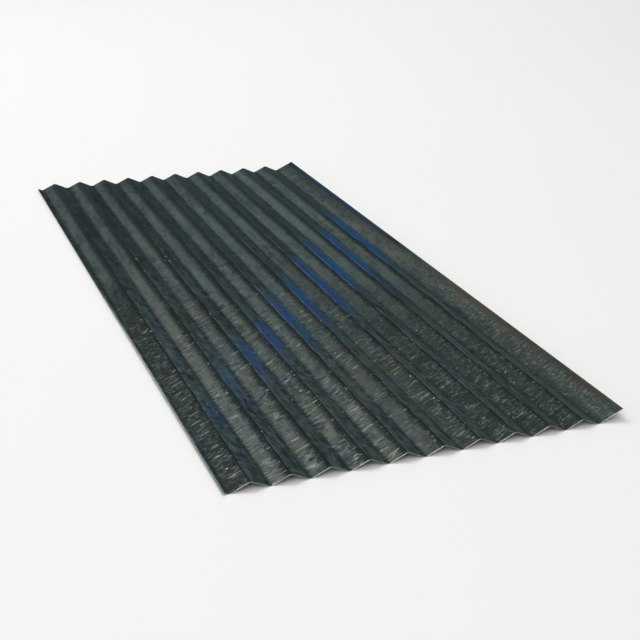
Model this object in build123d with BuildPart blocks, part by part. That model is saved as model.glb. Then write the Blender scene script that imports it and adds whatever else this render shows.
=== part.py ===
from build123d import *
import math
import os

os.makedirs("parts", exist_ok=True)

# Driving dimensions in millimetres, those of the wave on the middle of the metal
sheet_length = 1829.0  # along the corrugations, a six-foot sheet
wave_pitch = 76.2  # from crest to crest
wave_depth = 16.0  # from valley to crest
wave_count = 10  # whole waves from the first valley to the last
bend_radius = 10.0  # of every crest and valley
gauge = 0.5  # thickness of the metal
left_edge_flat = 11.0  # straight metal outside the first valley, cut low on its flank
right_edge_flat = 55.0  # straight metal outside the last valley, standing above the crests

# A flank is the straight line that touches a valley's arc from below and a crest's from above
half_pitch = wave_pitch / 2
centres_rise = wave_depth - 2 * bend_radius
centres_apart = math.hypot(half_pitch, centres_rise)
flank_slope = math.atan2(centres_rise, half_pitch) + math.asin(2 * bend_radius / centres_apart)
flank_length = math.sqrt(centres_apart**2 - (2 * bend_radius) ** 2)
flank_angle = math.degrees(flank_slope)

# The sheet is centred across its width and stands on the undersides of its valleys
half_bend_run = bend_radius * math.sin(flank_slope)
half_bend_rise = bend_radius * (1 - math.cos(flank_slope))
edge_flats_run = (left_edge_flat + right_edge_flat) * math.cos(flank_slope)
sheet_width = wave_count * wave_pitch + 2 * half_bend_run + edge_flats_run
left_edge_height = gauge / 2 + half_bend_rise + left_edge_flat * math.sin(flank_slope)
left_edge = (-sheet_width / 2, left_edge_height)

# Corrugated sheet: one rolled strip, its wave drawn on the metal's middle line and given the gauge
with BuildPart() as corrugated_sheet:
    with BuildSketch(Plane.XZ):
        with BuildLine():
            falling = PolarLine(left_edge, left_edge_flat, -flank_angle)
            for wave in range(wave_count):
                valley = JernArc(falling @ 1, falling % 1, bend_radius, 2 * flank_angle)
                rising = PolarLine(valley @ 1, flank_length, flank_angle)
                crest = JernArc(rising @ 1, rising % 1, bend_radius, -2 * flank_angle)
                falling = PolarLine(crest @ 1, flank_length, -flank_angle)
            last_valley = JernArc(falling @ 1, falling % 1, bend_radius, 2 * flank_angle)
            PolarLine(last_valley @ 1, right_edge_flat, flank_angle)
        trace(line_width=gauge)
    extrude(amount=sheet_length / 2, both=True)

corrugated_sheet.part.label = "corrugated_sheet"
export_step(corrugated_sheet.part, "parts/corrugated_sheet.step")
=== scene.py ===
import math
import random

import bpy
import numpy as np
from mathutils import Matrix, Vector, noise


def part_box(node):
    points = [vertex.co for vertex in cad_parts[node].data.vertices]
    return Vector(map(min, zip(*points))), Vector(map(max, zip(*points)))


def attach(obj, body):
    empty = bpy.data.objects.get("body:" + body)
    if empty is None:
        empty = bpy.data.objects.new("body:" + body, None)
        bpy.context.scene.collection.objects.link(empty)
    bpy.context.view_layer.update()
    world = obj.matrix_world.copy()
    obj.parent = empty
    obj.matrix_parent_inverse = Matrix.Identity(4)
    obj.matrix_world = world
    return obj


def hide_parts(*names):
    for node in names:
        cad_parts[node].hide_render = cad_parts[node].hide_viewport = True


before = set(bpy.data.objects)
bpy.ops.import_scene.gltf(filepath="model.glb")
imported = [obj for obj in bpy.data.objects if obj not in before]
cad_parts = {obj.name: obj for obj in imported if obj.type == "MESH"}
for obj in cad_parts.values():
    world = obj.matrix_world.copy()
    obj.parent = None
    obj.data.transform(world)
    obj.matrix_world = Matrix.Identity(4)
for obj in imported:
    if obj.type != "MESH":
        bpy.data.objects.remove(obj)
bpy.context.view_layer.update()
lowCorner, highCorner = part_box("corrugated_sheet")
mm = 0.001  # lengths below are millimetres, Blender's are metres

scene = bpy.context.scene
scene.view_settings.view_transform = "Standard"


def linearColour(hexCode):  # sRGB hex to the linear colour that shaders take
    channels = [int(hexCode[i:i + 2], 16) / 255 for i in (1, 3, 5)]
    return [c / 12.92 if c <= 0.04045 else ((c + 0.055) / 1.055) ** 2.4 for c in channels] + [1.0]


def addNode(tree, kind, inputs=None, **settings):
    node = tree.nodes.new(kind)
    for name, value in settings.items():
        setattr(node, name, value)
    for socket, value in (inputs or {}).items():
        if isinstance(value, bpy.types.NodeSocket):
            tree.links.new(value, node.inputs[socket])
        else:
            node.inputs[socket].default_value = value
    return node


def newMaterial(name):
    material = bpy.data.materials.new(name)
    material.use_nodes = True
    material.node_tree.nodes.clear()
    return material, material.node_tree


# Sheet: the rolled wave on the middle of the metal, and what rolling and handling left on it
sheet = {
    "pitch": 76.2,  # crest to crest
    "depth": 16.0,  # valley to crest
    "waves": 10,
    "bendRadius": 10.0,
    "gauge": 0.5,
    "leftFlat": 11.0,  # low edge, outside the first valley
    "rightFlat": 55.0,  # raised edge, outside the last valley
    "columns": {"valley": 4, "rising": 7, "crest": 5, "falling": 3},  # of the mesh, in each part of a wave
    "rows": 424,  # of the mesh, along the upper face
    "rowsPerUnderRow": 8,
    "rowCrowding": 0.4,  # row spacing at the near end, as a share of the mean
    "wander": 0.35,  # how far a crest strays from its line
    "wanderSize": (90.0, 420.0),  # across and along
    "wanderSeed": 3.1,
    "buckle": 0.12,  # shallow hollows in the flanks
    "buckleSize": (25.0, 70.0),
    "buckleSeed": 9.4,
}

# Cross breaks: short kinks across the rising flanks, left by the rolls, thickest at the near end
crossBreaks = {
    "spacing": 6.0,  # along a flank where they are thickest
    "spacingSpread": (0.4, 1.6),
    "fade": 620.0,  # distance over which they thin out from the near end
    "farCrowd": 0.12,  # how many are left at the far end, as a share
    "farHeight": 0.35,  # how high they still are there, as a share
    "height": (0.12, 0.4),
    "signs": (-1, 1, 1),  # two stand up for each that is a dent
    "halfWidth": (1.1, 2.0),
    "tail": 4,  # half widths from the line of one to where it has died out
    "reach": (0.35, 1.0),  # share of the flank that one crosses
    "fullness": 1.15,  # over 1, so that one stays full for most of its reach
    "endPower": 4,  # how sharply it stops
    "slant": 0.16,  # the most that one leans along the sheet, per mm across
    "crook": 4.0,  # how far one strays from a straight line
    "crookBends": 3.0,
    "crookSeed": 5.3,
    "cluster": 75.0,  # length of the clusters that they come in
    "clusterStep": 3.7,  # from flank to flank, so that clusters don't line up
    "clusterSeed": 1.9,
    "gapLevel": -0.3,  # noise below this leaves a gap between clusters
    "gapGrowth": 0.4,  # added to that level by the raised edge
    "seed": 7,
}


def sectionSpans():  # slope of the flanks, then (run of flat metal, turn in radians, which part of a wave)
    halfPitch = sheet["pitch"] / 2
    radius = sheet["bendRadius"]
    centresRise = sheet["depth"] - 2 * radius
    centresApart = math.hypot(halfPitch, centresRise)
    slope = math.atan2(centresRise, halfPitch) + math.asin(2 * radius / centresApart)
    flank = math.sqrt(centresApart**2 - (2 * radius) ** 2)
    valley = (0, 2 * slope, "valley")
    crest = (0, -2 * slope, "crest")
    wave = [valley, (flank, 0, "rising"), crest, (flank, 0, "falling")]
    lowEdge = [(sheet["leftFlat"], 0, "falling")]
    raisedEdge = [valley, (sheet["rightFlat"], 0, "rising")]
    return slope, lowEdge + sheet["waves"] * wave + raisedEdge


def walkSection():  # columns of the mesh from the low edge on: x, z, heading, span and share of that span
    slope, spans = sectionSpans()
    heading = -slope
    x = z = 0.0
    columns = [(x, z, heading, 0, 0.0)]
    for span, (run, turn, part) in enumerate(spans):
        steps = sheet["columns"][part]
        radius = math.copysign(sheet["bendRadius"], turn)
        for step in range(1, steps + 1):
            if turn:
                turned = heading + turn / steps
                x += radius * (math.sin(turned) - math.sin(heading))
                z -= radius * (math.cos(turned) - math.cos(heading))
                heading = turned
            else:
                x += run / steps * math.cos(heading)
                z += run / steps * math.sin(heading)
            columns.append((x, z, heading, span, step / steps))
    return slope, spans, np.array(columns)


def rowPlaces(length):  # rows crowd towards the near end, where the cross breaks are
    share = np.linspace(0, 1, sheet["rows"] + 1)
    crowding = sheet["rowCrowding"]
    return length * (crowding * share + (1 - crowding) * share**2)


def bendMetal(middleX, middleZ, rowPlace):  # broad unevenness, which dies out at the valleys on the floor
    broad = np.zeros((len(rowPlace), len(middleX)))
    wanderAcross, wanderAlong = sheet["wanderSize"]
    buckleAcross, buckleAlong = sheet["buckleSize"]
    for row, y in enumerate(rowPlace):
        for column, x in enumerate(middleX):
            stray = noise.noise(Vector((x / wanderAcross, y / wanderAlong, sheet["wanderSeed"])))
            hollow = noise.noise(Vector((x / buckleAcross, y / buckleAlong, sheet["buckleSeed"])))
            broad[row, column] = sheet["wander"] * stray + sheet["buckle"] * hollow
    return broad * np.clip(middleZ / sheet["depth"], 0, 1)


def addCrossBreaks(relief, spans, columnSpan, columnShare, rowPlace):
    draw = random.Random(crossBreaks["seed"])
    farCrowd = crossBreaks["farCrowd"]
    farHeight = crossBreaks["farHeight"]
    count = 0
    for span, (run, turn, part) in enumerate(spans):
        if turn or part != "rising":
            continue
        onFlank = np.flatnonzero(columnSpan == span)
        across = columnShare[onFlank]
        gap = crossBreaks["gapGrowth"] * span / len(spans) + crossBreaks["gapLevel"]
        place = 0.0
        while place < rowPlace[-1]:
            thinning = math.exp(-((place / crossBreaks["fade"]) ** 2))
            spread = draw.uniform(*crossBreaks["spacingSpread"])
            place += crossBreaks["spacing"] * spread / (farCrowd + (1 - farCrowd) * thinning)
            height = draw.uniform(*crossBreaks["height"]) * draw.choice(crossBreaks["signs"])
            height *= farHeight + (1 - farHeight) * thinning
            halfWidth = draw.uniform(*crossBreaks["halfWidth"])
            reach = draw.uniform(*crossBreaks["reach"])
            middle = draw.uniform(reach / 2, 1 - reach / 2)
            lean = draw.uniform(-1, 1) * crossBreaks["slant"] * run
            farthest = crossBreaks["tail"] * halfWidth + crossBreaks["crook"] + abs(lean)
            nearRows = np.flatnonzero(np.abs(rowPlace - place) < farthest)
            clusterPlace = (crossBreaks["clusterStep"] * span, place / crossBreaks["cluster"])
            cluster = noise.noise(Vector((*clusterPlace, crossBreaks["clusterSeed"])))
            if cluster < gap or not len(nearRows):
                continue
            off = (across - middle) / (reach / 2)
            window = np.clip(crossBreaks["fullness"] - off ** crossBreaks["endPower"], 0, 1)
            crookPlaces = [(crossBreaks["crookBends"] * share, place) for share in across]
            crook = np.array([noise.noise(Vector((*p, crossBreaks["crookSeed"]))) for p in crookPlaces])
            line = place + lean * (across - middle) + crossBreaks["crook"] * crook
            along = (rowPlace[nearRows, None] - line) / halfWidth
            relief[nearRows[:, None], onFlank] += height * np.exp(-(along**2)) * window
            count += 1
    return count


def quads(a, b, c, d):
    return np.stack([a.ravel(), b.ravel(), c.ravel(), d.ravel()], 1).tolist()


def sheetFaces(upperAt, underAt, underRows):  # both faces of the metal, then the cut ends and sides
    top = quads(upperAt[:-1, :-1], upperAt[:-1, 1:], upperAt[1:, 1:], upperAt[1:, :-1])
    bottom = quads(underAt[:-1, :-1], underAt[1:, :-1], underAt[1:, 1:], underAt[:-1, 1:])
    nearEnd = quads(underAt[0, :-1], underAt[0, 1:], upperAt[0, 1:], upperAt[0, :-1])
    farEnd = quads(underAt[-1, 1:], underAt[-1, :-1], upperAt[-1, :-1], upperAt[-1, 1:])
    sides = []
    for k in range(len(underRows) - 1):  # a side face takes in the upper rows between two under rows
        rows = slice(underRows[k], underRows[k + 1] + 1)
        sides.append([underAt[k + 1, 0], underAt[k, 0], *upperAt[rows, 0]])
        sides.append([underAt[k, -1], underAt[k + 1, -1], *upperAt[rows, -1][::-1]])
    return top + bottom, nearEnd + farEnd + [[int(i) for i in side] for side in sides]


def buildSheet():
    slope, spans, columns = walkSection()
    length = (highCorner.y - lowCorner.y) / mm
    half = sheet["gauge"] / 2
    normalX = -np.sin(columns[:, 2])
    normalZ = np.cos(columns[:, 2])
    middleX = columns[:, 0] + lowCorner.x / mm + half * math.sin(slope)
    middleZ = columns[:, 1] - columns[:, 1].min() + half
    rowPlace = rowPlaces(length)
    broad = bendMetal(middleX, middleZ, rowPlace)
    breaks = np.zeros(broad.shape)
    breakCount = addCrossBreaks(breaks, spans, columns[:, 3], columns[:, 4], rowPlace)
    print("cross breaks:", breakCount)

    def face(rows, offset):
        away = broad[rows] + offset
        x = middleX + normalX * away
        z = middleZ + normalZ * away
        y = np.repeat(rowPlace[rows, None] - length / 2, len(columns), 1)
        return np.stack([x, y, z], 2).reshape(-1, 3) * mm

    upperRows = np.arange(len(rowPlace))
    underRows = upperRows[::sheet["rowsPerUnderRow"]]
    upper = face(upperRows, half + breaks)
    under = face(underRows, -half)
    under[:, 2] = np.maximum(under[:, 2], 0)  # nothing dips into the floor
    places = np.concatenate([upper, under])
    upperAt = np.arange(len(upper)).reshape(len(upperRows), -1)
    underAt = len(upper) + np.arange(len(under)).reshape(len(underRows), -1)
    faces, cut = sheetFaces(upperAt, underAt, underRows)

    mesh = bpy.data.meshes.new("galvanised_sheet")
    mesh.from_pydata(places.tolist(), [], faces + cut)
    mesh.polygons.foreach_set("use_smooth", [True] * len(faces) + [False] * len(cut))
    mesh.polygons.foreach_set("material_index", [0] * len(faces) + [1] * len(cut))

    # The rim stays sharp, between the faces and the cut metal
    rim = np.zeros(len(places), bool)
    for at in (upperAt, underAt):
        rim[at[0]] = rim[at[-1]] = rim[at[:, 0]] = rim[at[:, -1]] = True
    pairs = np.zeros(2 * len(mesh.edges), np.int32)
    mesh.edges.foreach_get("vertices", pairs)
    mesh.edges.foreach_set("use_edge_sharp", rim[pairs.reshape(-1, 2)].all(1))

    # The material reads the height of the cross breaks
    heights = np.concatenate([breaks.ravel(), np.zeros(len(under))])
    crossBreak = mesh.attributes.new("crossBreak", "FLOAT", "POINT")
    crossBreak.data.foreach_set("value", heights.astype(np.float32))
    mesh.update()
    piece = bpy.data.objects.new("galvanised_sheet", mesh)
    scene.collection.objects.link(piece)
    return piece


# Galvanised steel: hot-dipped zinc, rolled, then dulled by storage to a thin film of oxide.
# It gives the eye a dark grey-green satin, lighter where the rolls and handling rubbed it, with patches of
# olive and brown bloom.
# Over that lie painted light and shade: a painted blue reflection, painted highlights and glints on crests,
# chatter marks and cut edges, and painted shade on crest shoulders, in dents and gaps and towards the far
# end.
zinc = {
    "dull": "#272f31",
    "fresh": "#5f6c6b",
    "tones": {  # patterns that mix dull and fresh
        "blotch": 0.75, "mottle": 0.6, "cloud": 0.5, "streak": 0.5, "spangle": 0.14,
    },
    "toneRange": (0.93, 1.54),
    "filmMetallic": 0.5,
    "wornMetallic": 0.85,
    "filmRoughness": 0.36,
    "wornRoughness": 0.28,
    "streakRoughness": 0.16,
    "filmGloss": 0.0,  # the gloss is the metal's own
    "edgeTint": "#a6aaac",  # rough metal loses its mirror at a glancing look
    "gritHeight": 0.015,
    "grainHeight": 0.3,
    "chatterHeight": 0.9,
    "spangle": 8.0,
    "grit": 1.8,  # real grit is finer and would not show
    "gritDetail": 2.0,
    "speck": (30.0, 22.0),  # across and along the sheet
    "patterns": {  # noise, by its size across and along the sheet
        "blotch": (15.0, 24.0),
        "mottle": (14.0, 90.0),
        "cloud": (75.0, 420.0),
        "streak": (2.6, 380.0),
        "chatter": (24.0, 6.5),
        "patch": (34.0, 85.0),
        "warm": (34.0, 85.0),
        "olive": (24.0, 48.0),
        "brown": (34.0, 95.0),
        "teal": (50.0, 500.0),
        "violet": (26.0, 110.0),
        "stain": (20.0, 55.0),
        "haze": (80.0, 700.0),
        "scuff": (9.0, 70.0),
        "grain": (11.0, 6.0),
    },
    "noise": {"Scale": 1.0, "Detail": 4.0, "Roughness": 0.58, "Distortion": 0.4},
    "noiseStep": (7.3, 3.1),  # sets each pattern apart from the one before
    "ragged": {"level": ("z", 16.0), "lean": ("tilt", 0.5)},  # how far chatter moves the edges of bands
    "raggedFar": 0.25,  # share of that at the far end
    "raggedFade": (-600.0, 600.0),  # along the sheet
    "blueLines": {"nearLine": 0.95, "farLine": 1.455},  # slopes of the lines that the painted blue reflection lies between
    "blueRagged": 280.0,
    # Strength, then ramps that multiply it: (what is read, value where it starts, value where it is full)
    "masks": {
        # Which way the metal faces, and where the rolls chattered
        "rising": (1.0, ("lean", -0.06, -0.32)),
        "falling": (1.0, ("tilt", 0.04, 0.3)),
        "chattered": (1.0, ("rising", 0, 1), ("y", 1150.0, -750.0), ("patch", 0.36, 0.54),
                      ("x", 405.0, 397.0)),
        # Bloom, stains and rubbing
        "warmBloom": (0.5, ("warm", 0.47, 0.64), ("rising", 0, 1), ("y", 1300.0, -500.0)),
        "oliveBloom": (0.52, ("olive", 0.5, 0.66), ("rising", 0, 1), ("y", 1300.0, -500.0)),
        "brownBloom": (0.35, ("brown", 0.52, 0.68), ("rising", 0, 1), ("y", 1300.0, -500.0)),
        "mauveBloom": (0.4, ("brown", 0.5, 0.64), ("rising", 0, 1), ("y", -200.0, 450.0),
                       ("x", 150.0, -250.0)),
        "coolBloom": (0.34, ("teal", 0.36, 0.58), ("rising", 0, 1), ("y", -600.0, 200.0),
                      ("x", -700.0, 300.0), ("x", 380.0, 355.0)),
        "tealBloom": (0.5, ("teal", 0.42, 0.62), ("falling", 0, 1), ("x", -600.0, -50.0)),
        "violetBloom": (0.5, ("violet", 0.52, 0.68), ("falling", 0, 1), ("x", 450.0, 50.0)),
        "oliveStain": (0.5, ("stain", 0.52, 0.66), ("falling", 0, 1)),
        "brownStain": (0.45, ("stain", 0.46, 0.32), ("falling", 0, 1)),
        "shade": (0.42, ("blotch", 0.52, 0.36), ("falling", 0, 1), ("x", 500.0, 50.0)),
        "gleam": (0.42, ("blotch", 0.52, 0.68), ("falling", 0, 1), ("y", 1100.0, -800.0)),
        "streaks": (0.4, ("streak", 0.52, 0.68), ("falling", 0, 1), ("y", 1300.0, -800.0)),
        "hazeBloom": (0.72, ("haze", 0.36, 0.54), ("falling", 0, 1), ("x", -330.0, 150.0)),
        "rubbed": (0.3, ("rising", 0, 1), ("x", -345.0, -322.0), ("x", -240.0, -285.0),
                   ("y", 600.0, -500.0)),
        "scuffs": (0.45, ("scuff", 0.6, 0.78), ("falling", 0, 1), ("y", 300.0, -800.0)),
        "edgeBloom": (0.6, ("x", 380.0, 406.0), ("y", 750.0, 250.0), ("brown", 0.36, 0.5)),
        # Painted blue reflection, aslant over the falling flanks
        "blue": (1.0, ("nearLine", -445.0, -165.0), ("farLine", 20.0, -205.0), ("tilt", -0.2, 0.12),
                 ("up", 0.0, 0.1), ("x", -880.0, 200.0), ("mottle", 0.27, 0.52), ("blotch", 0.22, 0.52)),
        # painted reflection: indigo patches within the blue
        "indigo": (0.85, ("violet", 0.42, 0.56), ("blue", 0, 1), ("x", 520.0, -80.0)),
        # painted blue reflection along the raised lip
        "blueLip": (0.32, ("x", 403.0, 410.0), ("y", 100.0, 240.0), ("y", 1050.0, 750.0)),
        # Painted shade on the crest shoulders, on the falling flanks towards the far end, in dents and in the
        # gaps between chatter marks; dark film by the edges; darker in the valleys
        # painted shade: a dark band on the crest shoulders
        "crestPaintedShade": (0.95, ("level", 8.5, 15.2), ("tilt", 0.32, 0.1), ("x", 392.0, 372.0),
                      ("y", 2600.0, -300.0)),
        # painted shade: falling flanks darker towards the far end
        "farPaintedShade": (0.48, ("falling", 0, 1), ("y", -700.0, 650.0)),
        "lowFilm": (0.82, ("rising", 0, 1), ("x", -325.0, -345.0), ("y", 250.0, -150.0)),
        "raisedFilm": (0.86, ("rising", 0, 1), ("x", -160.0, 150.0), ("x", 700.0, 240.0),
                       ("y", 450.0, -700.0)),
        "edgeFilm": (0.45, ("x", 368.0, 400.0)),
        "farEdgeFilm": (0.9, ("x", 395.0, 408.0), ("y", -250.0, 200.0)),
        # darker in the valleys
        "valleyDarkening": (0.58, ("level", 3.2, 0.8)),
        # painted shade in the gaps between chatter marks
        "gaps": (0.7, ("chatter", 0.5, 0.34), ("chattered", 0, 1)),
        # painted shade in the sunk cross breaks
        "dents": (0.5, ("crossBreak", -0.05, -0.3)),
        # Grain, then bare zinc and painted highlights
        # burnished chatter marks, with painted glints on them
        "dashes": (0.48, ("chatter", 0.55, 0.72), ("chattered", 0, 1), ("x", 370.0, -60.0),
                   ("y", 900.0, -600.0)),
        "grains": (0.46, ("grain", 0.5, 0.7), ("rising", 0, 1), ("x", -150.0, 250.0), ("y", 350.0, -750.0),
                   ("patch", 0.34, 0.5), ("x", 408.0, 400.0)),
        "lowGrains": (0.42, ("grain", 0.5, 0.68), ("rising", 0, 1), ("x", -355.0, -368.0),
                      ("y", 350.0, -450.0)),
        "edgeGrains": (0.42, ("grain", 0.46, 0.64), ("x", 368.0, 380.0), ("x", 408.0, 396.0),
                       ("y", 700.0, -400.0)),
        # burnished dashes on the falling flanks, with painted glints on them
        "fallDashes": (0.12, ("chatter", 0.55, 0.7), ("falling", 0, 1), ("y", 500.0, -900.0)),
        # burnished raised cross breaks, with painted highlights on them
        "kinks": (0.44, ("crossBreak", 0.08, 0.4), ("x", 480.0, -80.0)),
        # painted highlight: a thin bright line along the crests
        "crestPaintedHighlight": (0.5, ("tilt", 0.06, 0.11), ("tilt", 0.19, 0.14), ("z", 14.0, 15.2),
                      ("mottle", 0.4, 0.56), ("x", -650.0, 100.0), ("y", 700.0, -200.0)),
        # painted glints: small bright specks
        "specks": (0.7, ("speck", 0.09, 0.04), ("y", 350.0, -700.0)),
        # painted glints: bright dots along the crests
        "glints": (0.8, ("speck", 0.2, 0.1), ("z", 14.2, 15.6), ("x", -120.0, -220.0),
                   ("y", 450.0, 250.0), ("y", -450.0, -200.0)),
        # painted highlights: bright bands along the cut ends and the side lips
        "nearCut": (0.9, ("y", -912.3, -914.3)),
        "farCut": (0.9, ("y", 912.3, 914.3)),
        "lowLip": (0.8, ("x", -408.5, -411.5), ("y", 150.0, -350.0)),
        "raisedLip": (0.4, ("x", 413.4, 415.0)),
    },
    # One on the other over the film: colour, then the masks that it shows in
    "layers": (
        ("#6b675f", "warmBloom"),
        ("#54624b", "oliveBloom"),
        ("#5a514e", "brownBloom"),
        ("#5f7276", "coolBloom"),
        ("#696267", "mauveBloom"),
        ("#374a4d", "tealBloom"),
        ("#556866", "hazeBloom"),
        ("#46466a", "violetBloom"),
        ("#333c28", "oliveStain"),
        ("#453a36", "brownStain"),
        ("#1e2526", "shade"),
        ("#6d7876", "gleam", "streaks"),
        ("#7d8887", "scuffs"),
        ("#757e7b", "rubbed"),
        ("#5e5148", "edgeBloom"),
        # dark film by the edges, darker valleys, and painted shade on crest shoulders, far falling flanks,
        # chatter gaps and dents
        ("#232a29", "crestPaintedShade", "valleyDarkening", "farPaintedShade", "lowFilm", "raisedFilm", "edgeFilm", "farEdgeFilm",
         "gaps", "dents"),
        ("#74817d", "grains", "lowGrains", "edgeGrains"),
        # painted blue reflection
        ("#2a5d8a", "blue", "blueLip"),
        # painted reflection, indigo
        ("#434680", "indigo"),
        # bare zinc where worn, with painted highlights and glints
        ("#b4b6ae", "dashes", "fallDashes", "kinks", "crestPaintedHighlight", "specks", "glints", "nearCut", "farCut",
         "lowLip", "raisedLip"),
    ),
}


def zincGround(tree):  # what the masks read: place in millimetres, which way the metal faces, and patterns
    place = addNode(tree, "ShaderNodeVectorMath", {
        0: addNode(tree, "ShaderNodeTexCoord").outputs["Object"], "Scale": 1 / mm,
    }, operation="SCALE").outputs[0]
    axes = addNode(tree, "ShaderNodeSeparateXYZ", {"Vector": place}).outputs
    normal = addNode(tree, "ShaderNodeNewGeometry").outputs["Normal"]
    facing = addNode(tree, "ShaderNodeSeparateXYZ", {"Vector": normal}).outputs
    ground = {"x": axes["X"], "y": axes["Y"], "z": axes["Z"], "tilt": facing["X"], "up": facing["Z"]}

    stepAcross, stepAlong = zinc["noiseStep"]
    for order, (name, (across, along)) in enumerate(zinc["patterns"].items()):
        stretched = addNode(tree, "ShaderNodeMapping", {
            "Vector": place, "Location": (stepAcross * order, stepAlong * order, 0.0),
            "Scale": (1 / across, 1 / along, 1 / across),
        }).outputs[0]
        ground[name] = addNode(tree, "ShaderNodeTexNoise", {
            "Vector": stretched, **zinc["noise"],
        }).outputs["Fac"]
    ground["grit"] = addNode(tree, "ShaderNodeTexNoise", {
        "Vector": place, "Scale": 1 / zinc["grit"], "Detail": zinc["gritDetail"],
    }).outputs["Fac"]
    ground["spangle"] = addNode(tree, "ShaderNodeTexVoronoi", {
        "Vector": place, "Scale": 1 / zinc["spangle"],
    }).outputs["Color"]
    across, along = zinc["speck"]
    ground["speck"] = addNode(tree, "ShaderNodeTexVoronoi", {
        "Vector": addNode(tree, "ShaderNodeMapping", {
            "Vector": place, "Scale": (1 / across, 1 / along, 1 / across),
        }).outputs[0],
        "Scale": 1.0,
    }).outputs["Distance"]
    ground["crossBreak"] = addNode(tree, "ShaderNodeAttribute", attribute_name="crossBreak").outputs["Fac"]

    # Height and tilt with ragged edges, which are smoother towards the far end
    fadeStart, fadeEnd = zinc["raggedFade"]
    raggedness = addNode(tree, "ShaderNodeMapRange", {
        "Value": ground["y"], "From Min": fadeStart, "From Max": fadeEnd,
        "To Min": 1.0, "To Max": zinc["raggedFar"],
    }).outputs[0]
    for name, (source, reach) in zinc["ragged"].items():
        stray = addNode(tree, "ShaderNodeMapRange", {
            "Value": ground["chatter"], "To Min": -reach / 2, "To Max": reach / 2,
        }).outputs[0]
        ground[name] = addNode(tree, "ShaderNodeMath", {
            0: stray, 1: raggedness, 2: ground[source],
        }, operation="MULTIPLY_ADD").outputs[0]

    # Distance past each line of the painted blue reflection: along, less slope times across
    ragged = addNode(tree, "ShaderNodeMath", {
        0: ground["teal"], 1: zinc["blueRagged"], 2: ground["y"],
    }, operation="MULTIPLY_ADD").outputs[0]
    for name, slope in zinc["blueLines"].items():
        slanted = addNode(tree, "ShaderNodeMath", {
            0: ground["x"], 1: -slope, 2: ragged,
        }, operation="MULTIPLY_ADD").outputs[0]
        ground[name] = addNode(tree, "ShaderNodeMath", {
            0: slanted, 1: zinc["blueRagged"] / 2,
        }, operation="SUBTRACT").outputs[0]
    return ground


def galvanisedSteel():
    material, tree = newMaterial("galvanised_steel_hot_dipped")
    ground = zincGround(tree)
    for name, (mask, *ramps) in zinc["masks"].items():
        for source, start, full in ramps:
            mask = addNode(tree, "ShaderNodeMapRange", {
                "Value": ground[source], "From Min": start, "From Max": full, "To Max": mask,
            }, interpolation_type="SMOOTHSTEP").outputs[0]
        ground[name] = mask

    # Film: dull to fresh zinc in mottles, clouds and streaks, with each spangle a shade of its own
    tone = 0.0
    for name, share in zinc["tones"].items():
        tone = addNode(tree, "ShaderNodeMath", {
            0: ground[name], 1: share, 2: tone,
        }, operation="MULTIPLY_ADD").outputs[0]
    toneStart, toneFull = zinc["toneRange"]
    colour = addNode(tree, "ShaderNodeMix", {
        "Factor": addNode(tree, "ShaderNodeMapRange", {
            "Value": tone, "From Min": toneStart, "From Max": toneFull,
        }).outputs[0],
        "A": linearColour(zinc["dull"]), "B": linearColour(zinc["fresh"]),
    }, data_type="RGBA").outputs[2]
    for hexCode, first, *others in zinc["layers"]:
        mask = ground[first]
        for name in others:  # the greatest of the masks at each point
            mask = addNode(tree, "ShaderNodeMath", {
                0: mask, 1: ground[name],
            }, operation="MAXIMUM").outputs[0]
        colour = addNode(tree, "ShaderNodeMix", {
            "Factor": mask, "A": colour, "B": linearColour(hexCode),
        }, data_type="RGBA").outputs[2]

    # The last layer is bare zinc and painted highlights, which shine more than the film
    metallic = addNode(tree, "ShaderNodeMapRange", {
        "Value": mask, "To Min": zinc["filmMetallic"], "To Max": zinc["wornMetallic"],
    }).outputs[0]
    worn = addNode(tree, "ShaderNodeMapRange", {
        "Value": mask, "To Min": zinc["filmRoughness"], "To Max": zinc["wornRoughness"],
    }).outputs[0]
    roughness = addNode(tree, "ShaderNodeMath", {
        0: ground["streak"], 1: zinc["streakRoughness"], 2: worn,
    }, operation="MULTIPLY_ADD").outputs[0]

    # Relief finer than the mesh: grit all over, and grain and chatter where the rolls left them
    chatter = addNode(tree, "ShaderNodeMath", {
        0: ground["chatter"], 1: ground["chattered"],
    }, operation="MULTIPLY").outputs[0]
    reliefs = (
        (ground["grit"], zinc["gritHeight"]),
        (ground["grains"], zinc["grainHeight"]),
        (chatter, zinc["chatterHeight"]),
    )
    height = 0.0
    for relief, rise in reliefs:
        height = addNode(tree, "ShaderNodeMath", {
            0: relief, 1: rise, 2: height,
        }, operation="MULTIPLY_ADD").outputs[0]
    bump = addNode(tree, "ShaderNodeBump", {"Height": height, "Distance": mm, "Strength": 1.0}).outputs[0]

    shader = addNode(tree, "ShaderNodeBsdfPrincipled", {
        "Base Color": colour, "Metallic": metallic, "Roughness": roughness, "Normal": bump,
        "Specular IOR Level": zinc["filmGloss"], "Specular Tint": linearColour(zinc["edgeTint"]),
    })
    addNode(tree, "ShaderNodeOutputMaterial", {"Surface": shader.outputs[0]})
    return material


# Sheared edge: steel cut through by a guillotine.
# It gives the eye a thin bright line, scored where the metal tore.
shearedEdge = {
    "burnished": "#c4c9c7",
    "torn": "#878e8c",
    "score": (0.9, 6.0),  # across and along the cut; real scores are finer and would not show
    "scoreDetail": 3.0,
    "scoreHeight": 0.05,
    "burnishedRoughness": 0.26,
    "tornRoughness": 0.46,
}


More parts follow.
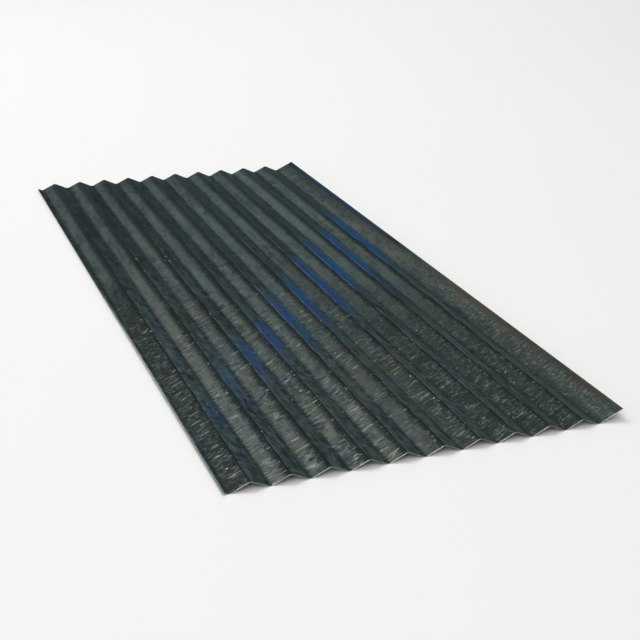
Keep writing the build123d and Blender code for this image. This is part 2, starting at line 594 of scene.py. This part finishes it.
def shearedSteel():
    material, tree = newMaterial("steel_sheared_edge")
    spacing, length = shearedEdge["score"]
    scored = addNode(tree, "ShaderNodeMapping", {
        "Vector": addNode(tree, "ShaderNodeTexCoord").outputs["Object"],
        "Scale": (1 / (spacing * mm), 1 / (spacing * mm), 1 / (length * mm)),
    }).outputs[0]
    score = addNode(tree, "ShaderNodeTexNoise", {
        "Vector": scored, "Scale": 1.0, "Detail": shearedEdge["scoreDetail"],
    }).outputs["Fac"]
    colour = addNode(tree, "ShaderNodeMix", {
        "Factor": score, "A": linearColour(shearedEdge["torn"]), "B": linearColour(shearedEdge["burnished"]),
    }, data_type="RGBA").outputs[2]
    roughness = addNode(tree, "ShaderNodeMapRange", {
        "Value": score, "To Min": shearedEdge["tornRoughness"], "To Max": shearedEdge["burnishedRoughness"],
    }).outputs[0]
    bump = addNode(tree, "ShaderNodeBump", {
        "Height": score, "Distance": shearedEdge["scoreHeight"] * mm, "Strength": 1.0,
    }).outputs[0]
    shader = addNode(tree, "ShaderNodeBsdfPrincipled", {
        "Base Color": colour, "Metallic": 1.0, "Roughness": roughness, "Normal": bump,
    })
    addNode(tree, "ShaderNodeOutputMaterial", {"Surface": shader.outputs[0]})
    return material


piece = buildSheet()
piece.data.materials.append(galvanisedSteel())
piece.data.materials.append(shearedSteel())
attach(piece, "root")
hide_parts("corrugated_sheet")
print("sheet faces:", len(piece.data.polygons))

# Floor: matt pale board, in metres, wide enough to fill every view
floor = {"colour": "#fbfbf9", "roughness": 0.9, "gloss": 0.1, "halfSize": 200.0}


def layFloor():
    half = floor["halfSize"]
    corners = [(-half, -half, 0), (half, -half, 0), (half, half, 0), (-half, half, 0)]
    mesh = bpy.data.meshes.new("floor")
    mesh.from_pydata(corners, [], [(0, 1, 2, 3)])
    material, tree = newMaterial("matt_pale_board")
    shader = addNode(tree, "ShaderNodeBsdfPrincipled", {
        "Base Color": linearColour(floor["colour"]), "Roughness": floor["roughness"],
        "Specular IOR Level": floor["gloss"],
    })
    addNode(tree, "ShaderNodeOutputMaterial", {"Surface": shader.outputs[0]})
    mesh.materials.append(material)
    board = bpy.data.objects.new("floor", mesh)
    scene.collection.objects.link(board)


layFloor()
print("floor laid")

# Studio light: soft boxes, in metres and watts
lamps = {
    "topBox": {"place": (-2.3, 4.1, 7.7), "size": (5.0, 5.0), "watts": 300.0},
    "keyBox": {"place": (-4.6, -5.0, 6.2), "size": (5.0, 5.0), "watts": 170.0},
    "lowStrip": {"place": (4.8, 8.4, 2.5), "size": (3.0, 0.8), "watts": 60.0},
}


def hangLamps():
    for name, lamp in lamps.items():
        light = bpy.data.lights.new(name, "AREA")
        light.shape = "RECTANGLE"
        light.size, light.size_y = lamp["size"]
        light.energy = lamp["watts"]
        box = bpy.data.objects.new(name, light)
        box.location = lamp["place"]
        box.rotation_euler = (-Vector(lamp["place"])).to_track_quat("-Z", "Y").to_euler()
        scene.collection.objects.link(box)


hangLamps()
print("lamps hung")

# Room light: lighter up on the left, and a pale wall all round just above the floor
room = {
    "towards": (-0.6, -0.2, 0.77),
    "fade": (-0.4, 0.8),  # from dark to light, along that direction
    "dark": 0.22,
    "light": 0.8,
    "wall": 0.62,
    "wallTop": (0.03, 0.09),  # height of the look at which the wall gives way to the room
}


def lightRoom():
    world = bpy.data.worlds.new("studio")
    world.use_nodes = True
    tree = world.node_tree
    tree.nodes.clear()
    direction = addNode(tree, "ShaderNodeTexCoord").outputs["Generated"]
    along = addNode(tree, "ShaderNodeVectorMath", {
        0: direction, 1: room["towards"],
    }, operation="DOT_PRODUCT").outputs["Value"]
    fadeStart, fadeEnd = room["fade"]
    strength = addNode(tree, "ShaderNodeMapRange", {
        "Value": along, "From Min": fadeStart, "From Max": fadeEnd,
        "To Min": room["dark"], "To Max": room["light"],
    }).outputs[0]
    height = addNode(tree, "ShaderNodeSeparateXYZ", {"Vector": direction}).outputs["Z"]
    wallEnd, roomStart = room["wallTop"]
    wall = addNode(tree, "ShaderNodeMapRange", {
        "Value": height, "From Min": wallEnd, "From Max": roomStart,
        "To Min": room["wall"], "To Max": strength,
    }).outputs[0]
    background = addNode(tree, "ShaderNodeBackground", {"Strength": wall})
    addNode(tree, "ShaderNodeOutputWorld", {"Surface": background.outputs[0]})
    scene.world = world


lightRoom()
print("room lit")

# Camera: millimetres and degrees, fitted to the ends of the waves
view = {
    "place": (-933.2, -2535.1, 1079.3),
    "turn": 23.09,
    "dip": 23.67,
    "roll": 1.91,
    "lens": 64.8,
    "sensor": 36.0,
}


def placeCamera():
    camera = bpy.data.cameras.new("camera")
    camera.sensor_width = view["sensor"]
    camera.lens = view["lens"]
    stand = bpy.data.objects.new("camera", camera)
    turn = Matrix.Rotation(-math.radians(view["turn"]), 4, "Z")
    dip = Matrix.Rotation(math.radians(90 - view["dip"]), 4, "X")
    roll = Matrix.Rotation(math.radians(view["roll"]), 4, "Z")
    stand.matrix_world = Matrix.Translation(Vector(view["place"]) * mm) @ turn @ dip @ roll
    scene.collection.objects.link(stand)
    scene.camera = stand


placeCamera()
print("camera placed")
